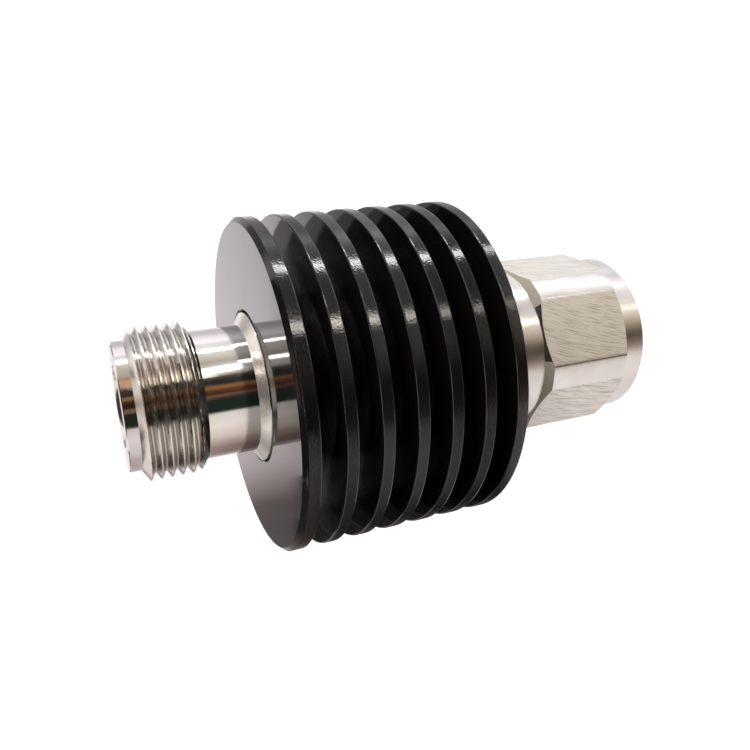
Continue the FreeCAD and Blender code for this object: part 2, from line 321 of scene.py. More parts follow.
NECK_BELT = [
    (-180, 1, 0.95, 0.95), (-164, 0.8, 0.74, 0.74), (-148, 0.4, 0.34, 0.32), (-136, 0.25, 0.19, 0.17),
    (-118, 0.26, 0.19, 0.16), (-99, 0.48, 0.38, 0.32), (-84, 0.78, 0.68, 0.6), (-60, 1.02, 0.92, 0.87),
    (-39, 0.93, 0.87, 0.83), (-35, 0.014, 0.026, 0.018), (-14, 0.014, 0.028, 0.019), (-11, 0.06, 0.04, 0.03),
    (-7, 0.22, 0.1, 0.06), (-4, 0.06, 0.03, 0.015), (2, 0.14, 0.055, 0.025), (6, 0.35, 0.16, 0.05),
    (9, 0.25, 0.125, 0.06), (12, 0.02, 0.015, 0.012), (19, 0.03, 0.025, 0.02), (26, 0.11, 0.1, 0.09),
    (33, 0.92, 0.88, 0.84), (47, 0.8, 0.76, 0.7), (52, 0.56, 0.51, 0.45), (60, 0.72, 0.67, 0.6),
    (68, 0.9, 0.86, 0.8), (92, 0.95, 0.93, 0.94), (101, 1.32, 1.27, 1.3), (110, 1.14, 1.11, 1.14),
    (124, 0.77, 0.737, 0.784), (141, 0.66, 0.626, 0.668), (157, 1, 0.95, 0.97),
]
print("jack:", len(BARREL_BELT), "and", len(NECK_BELT), "stops")

# %% Belts that the rims of the fins mirror
def tinted(tint, stops):
    """Belt of one tint, from stops that each hold an angle and a brightness."""
    return [(angle, *(share * brightness for share in tint)) for angle, brightness in stops]


FRONT_FIN_BELT = tinted((1, 0.95, 0.93), [
    (-180, 0.08), (-148, 0.057), (-131, 0.0522), (-117, 0.076), (-98, 0.095), (-80, 0.171), (-60, 0.266),
    (-45, 0.15), (-38, 0.065), (-26, 0.03), (-14, 0.035), (-8, 0.06),
]) + tinted((1, 0.96, 0.944), [
    (10, 0.12), (20, 0.15), (46, 0.15), (64, 0.24), (86, 0.5), (90, 0.5), (99, 1.1), (104, 0.88), (110, 0.46),
    (122, 0.4), (135, 0.44), (143, 0.72), (149, 1.2),
])
MIDDLE_FIN_BELT = tinted((1, 0.97, 0.97), [
    (-180, 0.12), (-148, 0.1), (-131, 0.035), (-117, 0.09), (-98, 0.304), (-80, 0.507), (-62, 0.652),
    (-45, 0.493), (-38, 0.13), (-26, 0.065), (-12, 0.05), (-8, 0.1), (10, 0.462), (22, 0.517), (46, 0.462),
    (60, 0.5), (66, 0.68), (86, 0.7),
]) + tinted((1, 0.982, 0.959), [
    (90, 0.8), (99, 1.68), (104, 1.15), (110, 0.76), (122, 0.74),
]) + tinted((1, 0.98, 0.98), [
    (135, 0.55), (149, 0.85),
])
REAR_FIN_BELT = tinted((1, 0.97, 0.97), [
    (-180, 0.08), (-148, 0.1), (-131, 0.03), (-117, 0.06), (-98, 0.204), (-80, 0.228), (-62, 0.192),
    (-45, 0.156), (-38, 0.05), (-26, 0.02), (-12, 0.025), (-8, 0.035), (10, 0.12), (24, 0.14), (46, 0.08),
    (60, 0.13), (66, 0.25), (86, 0.34), (90, 0.45), (99, 0.95), (104, 0.7), (110, 0.48), (122, 0.5),
]) + tinted((1, 0.98, 0.98), [
    (135, 0.5), (149, 0.54),
])
print("fins:", len(FRONT_FIN_BELT), len(MIDDLE_FIN_BELT), "and", len(REAR_FIN_BELT), "stops")

# %% Belts that the nut mirrors, and the dim ones far above
BOSS_BELT = [
    (-180, 0.95, 0.92, 0.9), (-67, 1.32, 1.26, 1.22), (-48, 1.32, 1.22, 1.15), (-38, 0.62, 0.46, 0.36),
    (-30, 0.26, 0.17, 0.12), (-16, 0.085, 0.065, 0.045), (-6, 0.2, 0.17, 0.11), (2, 0.72, 0.62, 0.42),
    (18, 1, 0.88, 0.74), (35, 0.95, 0.92, 0.88), (52, 0.85, 0.8, 0.76), (69, 1.15, 1.12, 1.1),
    (100, 1.2, 1.18, 1.16), (150, 1, 0.98, 0.98),
]
COLLAR_BELT = [
    (-180, 0.9, 0.86, 0.84), (-166, 0.641, 0.61, 0.598), (-150, 0.801, 0.746, 0.754),
    (-100, 0.783, 0.728, 0.708), (-50, 0.96, 0.891, 0.847), (-40, 0.784, 0.713, 0.653),
    (-32, 0.36, 0.27, 0.2), (-16, 0.06, 0.035, 0.015), (-8, 0.13, 0.09, 0.05), (1, 0.33, 0.26, 0.17),
    (18, 0.88, 0.76, 0.58), (35, 0.84, 0.78, 0.72), (52, 1.08, 1.02, 1), (69, 1.3, 1.26, 1.24),
    (78, 0.75, 0.7, 0.69), (88, 0.5, 0.469, 0.488), (100, 0.918, 0.909, 0.925), (119, 0.728, 0.71, 0.716),
    (135, 0.67, 0.667, 0.672), (151, 0.728, 0.727, 0.725), (167, 0.958, 0.969, 0.98),
]
DIM_BELT = [
    (-180, 0.4, 0.38, 0.39), (-165, 0.95, 0.86, 0.82), (-155, 0.8, 0.72, 0.69), (-145, 0.35, 0.31, 0.3),
    (-128, 0.1, 0.09, 0.09), (-60, 0.15, 0.14, 0.14), (-30, 0.2, 0.18, 0.17), (30, 0.2, 0.18, 0.17),
    (60, 0.27, 0.252, 0.252), (80, 0.28, 0.26, 0.25), (130, 0.28, 0.26, 0.25), (150, 0.4, 0.38, 0.39),
]
TOP_BELT = [
    (-180, 0.98, 0.93, 0.91), (-140, 0.95, 0.88, 0.85), (-128, 0.1, 0.09, 0.085), (-40, 0.1, 0.09, 0.085),
    (-25, 0.3, 0.23, 0.17), (25, 0.38, 0.27, 0.18), (60, 1.05, 0.95, 0.88), (150, 1.0, 0.96, 0.95),
]

# Each belt is pure at its height, in metres, and blends into the next below it.
TENT_BELTS = [
    (0.500, TOP_BELT),
    (0.400, DIM_BELT),
    (0.215, DIM_BELT),
    (0.185, NECK_BELT),
    (0.100, NECK_BELT),
    (0.028, BARREL_BELT),
    (-0.041, NECK_BELT),
    (-0.100, FRONT_FIN_BELT),
    (-0.150, MIDDLE_FIN_BELT),
    (-0.185, MIDDLE_FIN_BELT),
    (-0.230, REAR_FIN_BELT),
    (-0.255, REAR_FIN_BELT),
    (-0.300, BOSS_BELT),
    (-0.400, COLLAR_BELT),
]
print("tent with", len(TENT_BELTS), "belts")

# %% Tent
TENT_RADIUS = 0.5
TENT_HALF_HEIGHT = 0.6
TENT_SIDES = 96


def lit_material(name, colour, strength=1.0):
    """Material that glows in one colour, or in those that a function of the tree gives."""
    made, start = blank_material(name)
    made.cycles.emission_sampling = "NONE"
    shown = colour(start) if callable(colour) else to_rgba(colour)
    glow = start.node("ShaderNodeEmission", sockets={"Color": shown, "Strength": strength})
    start.node("ShaderNodeOutputMaterial", sockets={"Surface": glow})
    return made


def mirror_only(piece):
    """Leaves a piece of the studio visible to mirror rays alone."""
    piece.visible_camera = False
    piece.visible_diffuse = False
    piece.visible_shadow = False
    piece.visible_volume_scatter = False


def on_wall(angle, share):
    """Place at an angle in degrees, at a share of the tent's radius."""
    return Vector((sin(radians(angle)), -cos(radians(angle)), 0)) * TENT_RADIUS * share


def wall(name, angles, heights, share, sides, material):
    """Upright piece of a cylinder round the part, between two angles and two heights."""
    places = []
    for step in range(sides + 1):
        across = on_wall(angles[0] + (angles[1] - angles[0]) * step / sides, share)
        places += [across + Vector((0, 0, height)) for height in heights]
    faces = [(2 * side, 2 * side + 1, 2 * side + 3, 2 * side + 2) for side in range(sides)]
    mirror_only(surface(name, places, faces, material))


def place_in_tent(start):
    """X, and by its siblings Y and Z, of a place on a piece of the studio."""
    place = start.node("ShaderNodeTexCoord", output="Object")
    return start.node("ShaderNodeSeparateXYZ", sockets={0: place})


def angle_ramp(angle, stops, first, last):
    """Colour ramp over a range of angles in degrees."""
    placed = [((degree - first) / (last - first), colour) for degree, *colour in stops]
    share = angle.between(radians(first), radians(last))
    return angle.node("ShaderNodeValToRGB", {"stops": placed}, {0: share})


def belts(start):
    """The tent's colours by the angle about the main axis and by the height."""
    parts = place_in_tent(start)
    angle = parts.math("ARCTAN2", parts.sibling("Y") * -1.0)
    height, stops = TENT_BELTS[0]
    colour = angle_ramp(angle, stops, -180, 180)
    for next_height, next_stops in TENT_BELTS[1:]:
        share = parts.sibling("Z").between(height, next_height)
        colour = share.blend(colour, angle_ramp(angle, next_stops, -180, 180))
        height = next_height
    return colour


tent_heights = (-TENT_HALF_HEIGHT, TENT_HALF_HEIGHT)
wall("tent", (-180, 180), tent_heights, 1.0, TENT_SIDES, lit_material("tent", belts))
print("tent", 2 * TENT_RADIUS, "m across")

# %% [markdown]
# Cards, ceiling and pit
#
# The front faces of the jack and of the first fin look at the wall behind the part. A card there is pale on
# one side and dark on the other, and two narrow dark cards stand before its darker end. The two cones of the
# jack mirror the barrel and the neck, and these the ceiling, which is dark along its middle and darker still
# in a patch above the part. The pit closes the tent below.

# %% Cards, ceiling and pit
BACK_CARD = [  # angles from the far side
    (-20, 0.28, 0.25, 0.25), (-12, 0.24, 0.21, 0.21), (-9.8, 0.27, 0.23, 0.22), (-8.0, 0.66, 0.57, 0.55),
    (-6.5, 0.98, 0.86, 0.86), (-5.5, 1.1, 0.98, 1.0), (0, 1.36, 1.22, 1.26), (7, 1.44, 1.33, 1.37),
    (12, 1.36, 1.27, 1.31), (20, 1.3, 1.24, 1.28),
]
BACK_CARD_HALF_WIDTH = 30
CEILING = [  # X in metres
    (-0.3, 1.0, 0.92, 0.88), (-0.11, 0.92, 0.83, 0.77), (-0.05, 0.44, 0.37, 0.32), (0.04, 0.34, 0.25, 0.18),
    (0.1, 0.85, 0.74, 0.62), (0.17, 1.02, 0.93, 0.87), (0.3, 1.1, 1.05, 1.02),
]
CEILING_HALF_WIDTH = 0.5
PATCH_COLOUR = (0.05, 0.045, 0.04)
PATCH_NEAR_EDGE = (-0.175, -0.155)
PATCH_FAR_EDGE = (0.12, 0.04)
DARK_COLOUR = (0.03, 0.028, 0.028)
PIT_COLOUR = (0.30, 0.27, 0.25)
LID_SIDE = 2.4 * TENT_RADIUS


def behind(start):
    """Colours of the card behind the piece, by the angle from the far side."""
    parts = place_in_tent(start)
    angle = parts.math("ARCTAN2", parts.sibling("Y"))
    return angle_ramp(angle, BACK_CARD, -BACK_CARD_HALF_WIDTH, BACK_CARD_HALF_WIDTH)


def overhead(start):
    """Colours of the ceiling: bands from side to side, and a dark patch above the part."""
    parts = place_in_tent(start)
    stops = [(x + CEILING_HALF_WIDTH, colour) for x, *colour in CEILING]
    share = parts.between(-CEILING_HALF_WIDTH, CEILING_HALF_WIDTH)
    across = start.node("ShaderNodeValToRGB", {"stops": stops}, {0: share})
    depth = parts.sibling("Y")
    return (depth.between(*PATCH_NEAR_EDGE) * depth.between(*PATCH_FAR_EDGE)).blend(across, PATCH_COLOUR)


CARDS = [  # name, angles, heights in metres, share of the tent's radius, sides, colour
    ("back_card", (158, 202), (0.105, 0.178), 0.98, 12, behind),
    ("dark_card", (188, 191.7), (0.172, 0.30), 0.97, 4, DARK_COLOUR),
    ("dark_card_edge", (191.7, 194.5), (0.163, 0.30), 0.97, 4, DARK_COLOUR),
]
for name, angles, heights, share, sides, colour in CARDS:
    wall(name, angles, heights, share, sides, lit_material(name, colour))
for name, height, colour in (("ceiling", TENT_HALF_HEIGHT, overhead), ("pit", -TENT_HALF_HEIGHT, PIT_COLOUR)):
    mirror_only(level_square(name, LID_SIDE, height, lit_material(name, colour)))
print(len(CARDS), "cards, ceiling and pit")

# %% [markdown]
# Bright tubes
#
# The crisp white lines along the turned metal are mirrored lamps. Each is a narrow bright strip that leans
# along the tent's wall, wider or narrower towards its far end, as the line in the metal is. They are no lamps
# for matt surfaces, so the shadow on the floor stays soft.

# %% Tubes
TUBE_SHARE = 0.96
COOL = (1.0, 0.98, 0.97)
PALE = (1.0, 0.98, 0.96)
TUBES = [  # name, angle and height of either end, width at either end, colour, strength
    ("tube_high", (84, 0.25), (80, 0.04), (0.05, 0.04), PALE, 9.0),
    ("tube_barrel", (82.6, 0.04), (75.8, -0.07), (0.042, 0.036), COOL, 13.0),
    ("tube_over", (75.4, -0.07), (71.3, -0.20), (0.033, 0.031), COOL, 17.0),
    ("tube_rear", (71.3, -0.20), (72.5, -0.265), (0.031, 0.026), COOL, 17.0),
    ("tube_collar", (72, -0.285), (64, -0.42), (0.035, 0.035), PALE, 2.6),
    ("tube_high_front", (46, 0.25), (46, 0.10), (0.05, 0.05), (1.0, 0.96, 0.90), 8.0),
    ("tube_front", (32.4, -0.07), (26.5, -0.25), (0.050, 0.009), (1.0, 0.93, 0.82), 11.5),
    ("tube_low", (29, -0.26), (25, -0.42), (0.045, 0.045), (1.0, 0.94, 0.82), 2.4),
    ("tube_neck", (38, -0.015), (36, -0.06), (0.115, 0.05), (1.0, 0.97, 0.92), 4.5),
    ("tube_thread", (28.5, 0.012), (28.5, -0.020), (0.05, 0.05), (1.0, 0.88, 0.68), 4.0),
]


def tube(name, near, far, widths, colour, strength):
    """Bright strip between two places by the tent's wall."""
    ends = [on_wall(angle, TUBE_SHARE) + Vector((0, 0, height)) for angle, height in (near, far)]
    along = (ends[1] - ends[0]).normalized()
    outward = Vector((ends[0].x, ends[0].y, 0)).normalized()
    side = along.cross(outward).normalized() / 2
    near_side, far_side = side * widths[0], side * widths[1]
    corners = [ends[0] - near_side, ends[0] + near_side, ends[1] + far_side, ends[1] - far_side]
    mirror_only(surface(name, corners, [(0, 1, 2, 3)], lit_material(name, colour, strength)))


for row in TUBES:
    tube(*row)
print(len(TUBES), "tubes")

# %% [markdown]
# Turning an outline
#
# Nearly every piece comes off a lathe, so its shape is an outline swung round the axis. The outline is a short
# list of corners, each with its radius and height, and with a rounding where the real edge is broken. A
# rounded edge catches a thin line of light, which a knife edge never does. A Spin or a Screw modifier could
# turn it too. Here the columns are counted, so that a thread or a hexagon joins them corner for corner.

# %% Outlines and turned shells
ROUND_STEPS = 3
LATHE_CREASE = 12
WELD = 0.0005 * MM


def rounded(corners):
    """Points of an outline in which each corner with a third number becomes an arc of that radius."""
    points = []
    for index, corner in enumerate(corners):
        here = Vector(corner[:2])
        if len(corner) < 3:
            points.append(here)
            continue
        radius = corner[2]
        back = (Vector(corners[index - 1][:2]) - here).normalized()
        ahead = (Vector(corners[index + 1][:2]) - here).normalized()
        half_angle = back.angle(ahead) / 2
        centre = here + (back + ahead).normalized() * radius / sin(half_angle)
        first = (here + back * radius / tan(half_angle) - centre).normalized()
        last = (here + ahead * radius / tan(half_angle) - centre).normalized()
        for step in range(ROUND_STEPS + 1):
            points.append(centre + first.slerp(last, step / ROUND_STEPS) * radius)
    return points


def turned(outline, sides, start=0.0):
    """Mesh turned about Z from an outline in millimetres. Column 0 lies at the start angle from +X."""
    mesh = bpy.data.meshes.new("turned")
    places = []
    faces = []
    rows = len(outline)
    for column in range(sides):
        angle = start + 2 * pi * column / sides
        for radius, height in outline:
            places.append((radius * cos(angle) * MM, radius * sin(angle) * MM, height * MM))
    for column in range(sides):
        here = column * rows
        beside = (column + 1) % sides * rows
        for row in range(rows - 1):
            faces.append((here + row, beside + row, beside + row + 1, here + row + 1))
    mesh.from_pydata(places, [], faces)
    return mesh


def even_normals(piece):
    """Lets broad faces rule the shading of the narrow ones beside them, and keeps the result in the mesh."""
    weighting = piece.modifiers.new("even", "WEIGHTED_NORMAL")
    weighting.keep_sharp = True
    weighting.weight = 100
    evaluated = piece.evaluated_get(bpy.context.evaluated_depsgraph_get())
    mesh = bpy.data.meshes.new_from_object(evaluated)
    piece.modifiers.clear()
    plain = piece.data
    piece.data = mesh
    bpy.data.meshes.remove(plain)
    mesh.name = piece.name


def solid(name, meshes, materials, crease):
    """One closed piece from open shells whose rims meet, with its normals outward and its creases sharp."""
    shell = bmesh.new()
    for mesh in meshes:
        shell.from_mesh(mesh)
        bpy.data.meshes.remove(mesh)
    bmesh.ops.remove_doubles(shell, verts=shell.verts, dist=WELD)
    bmesh.ops.recalc_face_normals(shell, faces=shell.faces)
    open_edges = sum(1 for edge in shell.edges if len(edge.link_faces) != 2)
    mesh = bpy.data.meshes.new(name)
    shell.to_mesh(mesh)
    shell.free()
    for material in materials:
        mesh.materials.append(material)
    mesh.shade_smooth()
    mesh.set_sharp_from_angle(angle=radians(crease))
    made = bpy.data.objects.new(name, mesh)
    scene.collection.objects.link(made)
    even_normals(made)
    print(name, len(made.data.polygons), "faces,", open_edges, "open edges")
    return made


def dress(piece, material, inner, outer, low, high):
    """Gives a finish to the faces whose middles lie in a band of radius and height, in millimetres."""
    piece.data.materials.append(material)
    place = len(piece.data.materials) - 1
    for face in piece.data.polygons:
        radius = face.center.xy.length / MM
        if inner < radius < outer and low < face.center.z / MM < high:
            face.material_index = place


# %% [markdown]
# Finishes
#
# Every material reads the piece's own coordinates. Turned metal carries fine rings, so its bump is a noise
# that changes only with the radius and the height. Roughness and colour wander a little over a few
# millimetres, as plating and handling leave them.

# %% Helpers for finishes
def away_and_height(start):
    """Distance from the main axis and height, in metres."""
    place = start.node("ShaderNodeTexCoord", output="Object")
    parts = start.node("ShaderNodeSeparateXYZ", sockets={0: place})
    return (parts * parts + parts.sibling("Y") * parts.sibling("Y")).math("SQRT"), parts.sibling("Z")


def turned_rings(start, spacing, seed):
    """Noise that runs in rings round the main axis. The spacing is in metres."""
    away, height = away_and_height(start)
    ring = start.node("ShaderNodeCombineXYZ", sockets={0: away / spacing, 1: height / spacing, 2: seed})
    return start.node("ShaderNodeTexNoise", sockets={"Vector": ring, "Scale": 1.0, "Detail": 2.0})


def clouds(start, size, seed):
    """Soft noise over the piece, with spots of about the given size in metres."""
    place = start.node("ShaderNodeTexCoord", output="Object")
    moved = start.node("ShaderNodeMapping", sockets={"Vector": place, "Location": (seed, seed, seed)})
    return start.node("ShaderNodeTexNoise", sockets={"Vector": moved, "Scale": 1 / size, "Detail": 3.0})


MIDDLE = (0.3, 0.7)
WHOLE = (0, 1)


def spread(noise, low, high):
    """Stretches the middle of a noise over a range of values."""
    return noise.between(*MIDDLE, low, high)


def bumped(height, depth=1.0):
    """Normal of a surface whose height term is scaled to a depth in metres."""
    return height.node("ShaderNodeBump", sockets={"Height": height, "Distance": depth, "Strength": 1.0})


def finish(name, uniform, varying):
    """Principled material. Uniform values sit on the shader's sockets, and varying ones are terms."""
    made, start = blank_material(name)
    sockets = dict(uniform)
    sockets.update({label: term(start) for label, term in varying.items()})
    shader = start.node("ShaderNodeBsdfPrincipled", sockets=sockets)
    start.node("ShaderNodeOutputMaterial", sockets={"Surface": shader})
    return made


# %% Polished nickel and the thread's nickel
NICKEL_PALE = (0.82, 0.80, 0.795)
NICKEL_WARM = (0.77, 0.745, 0.73)
# Painted shade: the thread's nickel darkens from the crests towards the roots, over the radii in THREAD_SHADE.
THREAD_ROOT_SHADE = (0.60, 0.57, 0.53)
THREAD_SHADE = (7.35 * MM, 7.85 * MM)
RING_RELIEF = 0.0004 * MM
CLOUD_RELIEF = 0.0012 * MM

polished_nickel = finish(
    "polished_nickel",
    {"Metallic": 1.0, "Anisotropic": 0.5, "Anisotropic Rotation": 0.25},
    {
        "Base Color": lambda start: spread(clouds(start, 3 * MM, 1.0), 0, 1).blend(NICKEL_PALE, NICKEL_WARM),
        "Roughness": lambda start: spread(clouds(start, 2 * MM, 2.0), 0.06, 0.11),
        "Normal": lambda start: bumped(
            turned_rings(start, 0.12 * MM, 3.0) * RING_RELIEF + clouds(start, 0.5 * MM, 3.5) * CLOUD_RELIEF),
    },
)
threaded_nickel = finish(
    "threaded_nickel",
    {"Metallic": 1.0},
    {
        # Painted shade in the thread's grooves: darker towards the roots.
        "Base Color": lambda start: away_and_height(start)[0].between(*THREAD_SHADE).blend(
            THREAD_ROOT_SHADE, NICKEL_PALE),
        "Roughness": lambda start: spread(clouds(start, 0.6 * MM, 28.0), 0.1, 0.2),
        "Normal": lambda start: bumped(clouds(start, 0.35 * MM, 29.0), 0.006 * MM),
    },
)
print("2 finishes of nickel")

# %% [markdown]
# Finishes that differ in numbers alone
#
# The other plain finishes are one recipe: two colours in clouds, a roughness that wanders, and a fine relief
# of rings or clouds. Each takes three noises, with seeds that follow one another. Most of a noise lies in its
# middle, so a share of MIDDLE runs through both colours, and WHOLE keeps between them.

# %% Plain finishes
def plain_finish(name, uniform, seed, colours, roughness, relief, share=WHOLE):
    """Finish from two colours, a range of roughness and a relief. Sizes and depths are in millimetres."""
    colour_size, first, second = colours
    rough_size, low, high = roughness
    pattern, relief_size, depth = relief
    return finish(name, uniform, {
        "Base Color": lambda start: clouds(start, colour_size * MM, seed).between(*share).blend(first, second),
        "Roughness": lambda start: spread(clouds(start, rough_size * MM, seed + 1), low, high),
        "Normal": lambda start: bumped(pattern(start, relief_size * MM, seed + 2), depth * MM),
    })


matt_nickel = plain_finish(
    "matt_nickel", {"Metallic": 0.92}, 30.0,
    (2, (0.80, 0.77, 0.73), (0.87, 0.84, 0.81)), (1, 0.21, 0.28), (turned_rings, 0.1, 0.003), MIDDLE)
shoulder_nickel = plain_finish(
    "shoulder_nickel", {"Metallic": 0.45}, 33.0,
    (2, (0.50, 0.45, 0.36), (0.57, 0.52, 0.42)), (1, 0.38, 0.48), (turned_rings, 0.1, 0.002), MIDDLE)
turned_nickel = plain_finish(
    "turned_nickel", {"Metallic": 1.0, "Anisotropic": 0.4, "Anisotropic Rotation": 0.25}, 4.0,
    (3, (0.83, 0.81, 0.81), (0.79, 0.765, 0.76)), (2, 0.2, 0.27), (turned_rings, 0.1, 0.001), MIDDLE)
plated_gold = plain_finish(
    "plated_gold", {"Metallic": 1.0}, 10.0,
    (1, (0.95, 0.66, 0.27), (0.85, 0.56, 0.21)), (1, 0.16, 0.26), (turned_rings, 0.08, 0.0006))
white_ptfe = plain_finish(
    "white_ptfe", {"Metallic": 0.0, "IOR": 1.38}, 13.0,
    (1, (0.84, 0.83, 0.80), (0.76, 0.75, 0.72)), (0.6, 0.35, 0.5), (turned_rings, 0.12, 0.002))
matt_rubber = plain_finish(
    "matt_rubber", {"Metallic": 0.0, "IOR": 1.45}, 16.0,
    (1, (0.028, 0.027, 0.026), (0.05, 0.048, 0.046)), (0.4, 0.5, 0.7), (clouds, 0.15, 0.004))
plain_aluminium = plain_finish(
    "plain_aluminium", {"Metallic": 1.0}, 19.0,
    (2, (0.86, 0.86, 0.87), (0.76, 0.76, 0.78)), (1, 0.25, 0.4), (turned_rings, 0.1, 0.001))
fired_ceramic = plain_finish(
    "fired_ceramic", {"Metallic": 0.0, "IOR": 1.7}, 22.0,
    (0.5, (0.86, 0.86, 0.83), (0.78, 0.78, 0.75)), (0.3, 0.3, 0.45), (clouds, 0.05, 0.001))
drawn_steel = plain_finish(
    "drawn_steel", {"Metallic": 1.0}, 25.0,
    (1, (0.55, 0.54, 0.52), (0.42, 0.41, 0.40)), (0.5, 0.2, 0.32), (turned_rings, 0.1, 0.0008))
print("9 plain finishes")

# %% [markdown]
# Gloss black
#
# The sink is anodised and dyed, with a glassy seal on top. Its faces mirror cleanly. The rims ripple a
# little, so the lines in them break up, and the grooves go dull towards their roots, where the tool's marks
# stay. Both follow from the radius and the height, so no mask is painted.

# %% Gloss black
RIM_INSIDE = 17.8
RIM_BLEND = 0.1
RIM_RELIEF = 0.011 * MM
FACE_RELIEF = 0.0006 * MM
DULL_FROM = 15
DULL_FULL = 12
DULLER = 0.35
DYE_DEEP = (0.002, 0.0018, 0.002)
DYE_THIN = (0.004, 0.0036, 0.004)


def on_rims(start):
    """1 on the rims of the fins and 0 inside them."""
    return away_and_height(start)[0].between(RIM_INSIDE * MM, (RIM_INSIDE + RIM_BLEND) * MM)


def deep_in_grooves(start):
    """1 at the roots of the fins, and 0 towards their rims and on the front face."""
    away, height = away_and_height(start)
    return away.between(DULL_FROM * MM, DULL_FULL * MM) * height.math("LESS_THAN", (SINK_HIGH - 0.1) * MM)


gloss_anodise = finish(
    "gloss_anodise",
    {"Metallic": 0.0, "IOR": 1.7},
    {
        "Base Color": lambda start: clouds(start, 4 * MM, 7.0).blend(DYE_DEEP, DYE_THIN),
        "Roughness": lambda start: (
            spread(clouds(start, 3 * MM, 8.0), 0.055, 0.095) + DULLER * deep_in_grooves(start)),
        "Normal": lambda start: bumped(
            turned_rings(start, 0.15 * MM, 9.0) * FACE_RELIEF
            + on_rims(start) * clouds(start, 0.2 * MM, 9.5) * RIM_RELIEF),
    },
)
print("gloss black, dull below", DULL_FROM, "mm")

# %% [markdown]
# Milled flats
#
# A fly cutter swings one tooth in a wide circle and leaves close arcs on each flat of the nut. The noise is
# read in the cutter's own terms: how far a spot lies from the cutter's centre, and how far round. Drawn out
# along the second, it makes strokes. The flats carry a map in millimetres, on which they follow each other at
# an even shift, so its second number gives both the flat and the place on it.

# %% Milled flats
FLAT_MAP = "flat"
FLAT_MAP_SHIFT = 23.0
CUTTER_CENTRE = (-56.5, 11.3)
LINES_PER_MM = 9.0
STROKES_PER_RADIAN = 22.0
STROKE_SHARE = (0.34, 0.50)
STROKE_COLOUR = (0.56, 0.515, 0.45)
STROKE_RELIEF = 0.010 * MM
PLAIN_COLOUR = (0.88, 0.84, 0.785)
SEED_PER_FLAT = 7.3


def cutter_lines(start, lines=LINES_PER_MM):
    """Noise in arcs about the cutter's centre, with so many lines to the millimetre."""
    spot = start.node("ShaderNodeUVMap", {"uv_map": FLAT_MAP})
    parts = start.node("ShaderNodeSeparateXYZ", sockets={0: spot})
    flat = (parts.sibling("Y") / FLAT_MAP_SHIFT).math("FLOOR")
    across = parts + CUTTER_CENTRE[0]
    along = parts.sibling("Y") - flat * FLAT_MAP_SHIFT + CUTTER_CENTRE[1]
    sweep = (across * across + along * along).math("SQRT")
    turn = across.math("ARCTAN2", along) * STROKES_PER_RADIAN
    grain = start.node("ShaderNodeCombineXYZ", sockets={0: sweep * lines, 1: turn, 2: flat * SEED_PER_FLAT})
    return start.node("ShaderNodeTexNoise", sockets={"Vector": grain, "Scale": 1.0, "Detail": 3.0})


milled_nickel = finish(
    "milled_nickel",
    {"Metallic": 0.88},
    {
        "Base Color": lambda start: cutter_lines(start).between(*STROKE_SHARE).blend(
            STROKE_COLOUR, PLAIN_COLOUR),
        "Roughness": lambda start: spread(cutter_lines(start, LINES_PER_MM / 4), 0.45, 0.3),
        "Normal": lambda start: bumped(cutter_lines(start), STROKE_RELIEF),
    },
)
print("milled nickel,", LINES_PER_MM, "lines to the mm")

# %% [markdown]
# Growing a mesh from a rule
#
# The heat sink and the threads follow rules: so many fins at such a pitch, a ridge that climbs one pitch a
# turn. Geometry Nodes hold such a rule with its sizes as named inputs, so a size can be changed and the whole
# piece follows. The helpers make an empty tree with those inputs, and evaluate it once into a plain mesh,
# because an exported model keeps no node trees.

# %% Trees with named inputs
KINDS = {int: "NodeSocketInt", float: "NodeSocketFloat", bpy.types.Material: "NodeSocketMaterial"}


def rule_tree(name, values):
    """Geometry tree with an input for each value. Returns the tree, the inputs as terms, and their sockets."""
    tree = bpy.data.node_groups.new(name, "GeometryNodeTree")
    sockets = {}
    for label, value in values.items():
        kind = next(kind for sort, kind in KINDS.items() if isinstance(value, sort))
        sockets[label] = tree.interface.new_socket(name=label, in_out="INPUT", socket_type=kind).identifier
    tree.interface.new_socket(name="Geometry", in_out="OUTPUT", socket_type="NodeSocketGeometry")
    group = tree.nodes.new("NodeGroupInput")
    return tree, {label: Term(tree, group.outputs[label]) for label in values}, sockets


def close_rule(shape, material):
    """Ends a geometry tree: real geometry, its material, and the group's output."""
    real = shape.node("GeometryNodeRealizeInstances", sockets={"Geometry": shape})
    dressed = shape.node("GeometryNodeSetMaterial", sockets={"Geometry": real, "Material": material})
    shape.node("NodeGroupOutput", sockets={"Geometry": dressed})


def grow(name, tree, sockets, values):
    """Plain mesh that the tree makes from these values."""
    host = bpy.data.objects.new(name, bpy.data.meshes.new(name))
    scene.collection.objects.link(host)
    modifier = host.modifiers.new(name, "NODES")
    modifier.node_group = tree
    for label, value in values.items():
        modifier[sockets[label]] = value
    evaluated = host.evaluated_get(bpy.context.evaluated_depsgraph_get())
    mesh = bpy.data.meshes.new_from_object(evaluated)
    bpy.data.objects.remove(host)
    return mesh


# %% [markdown]
# The heat sink
#
# A finned sink is one bar of aluminium with grooves cut into it on the lathe. Its outline is the same four
# corners for every fin, so the tree counts along a line of points: the fin's number and the corner's number
# follow from the point's index. Four last points make the bore and the recesses for the two flanges. The line
# becomes a curve, its corners are rounded or chamfered, and a circle carries it round the axis.

# %% Sizes of the heat sink
SINK = {
    "Fins": 7,
    "Pitch": 3.6 * MM,
    "Thickness": 1.3 * MM,
    "End Thickness": 1.8 * MM,
    "Bottom": SINK_LOW * MM,
    "Fin Radius": FIN_RADIUS * MM,
    "Core Radius": 9.5 * MM,
    "Bore Radius": 7.0 * MM,
    "Recess Radius": 8.2 * MM,
    "Recess Depth": 0.8 * MM,
    "Edge Rounding": 0.15 * MM,
    "Root Rounding": 0.4 * MM,
    "End Chamfer": 0.5 * MM,
    "Recess Chamfer": 0.2 * MM,
    "Sides": 256,
    "Material": gloss_anodise,
}
print(SINK["Fins"], "fins,", SINK["Sides"], "sides")

